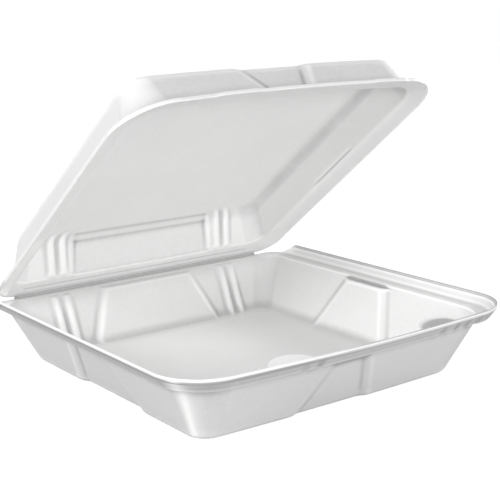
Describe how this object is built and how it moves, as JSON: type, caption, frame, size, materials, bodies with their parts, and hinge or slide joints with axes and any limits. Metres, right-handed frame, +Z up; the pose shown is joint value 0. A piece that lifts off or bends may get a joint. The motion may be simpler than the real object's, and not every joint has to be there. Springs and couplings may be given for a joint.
{
  "type": "foam clamshell container",
  "caption": "Square foam takeaway box: a tray with sloping ribbed walls and a flared lip, and a shallower lid on a pressed hinge line along the back, standing part open.",
  "frame": {"origin": "on the tray's underside, below the middle of its rim", "axes": "+Z up, +Y from the front towards the hinge, +X to the right seen from the front"},
  "size_m": [0.235, 0.2351, 0.1851],
  "materials": {
    "foam": "matte white foam with a fine skin"
  },
  "bodies": {
    "tray": {"tray": "foam"},
    "lid": {"lid": "foam"}
  },
  "joints": [
    {"name": "lid_hinge", "type": "hinge", "parent": "tray", "child": "lid", "pos_m": [0, 0.11575, 0.0365], "axis": [-1, 0, 0], "range_deg": [-37.2, 142.8]}
  ]
}
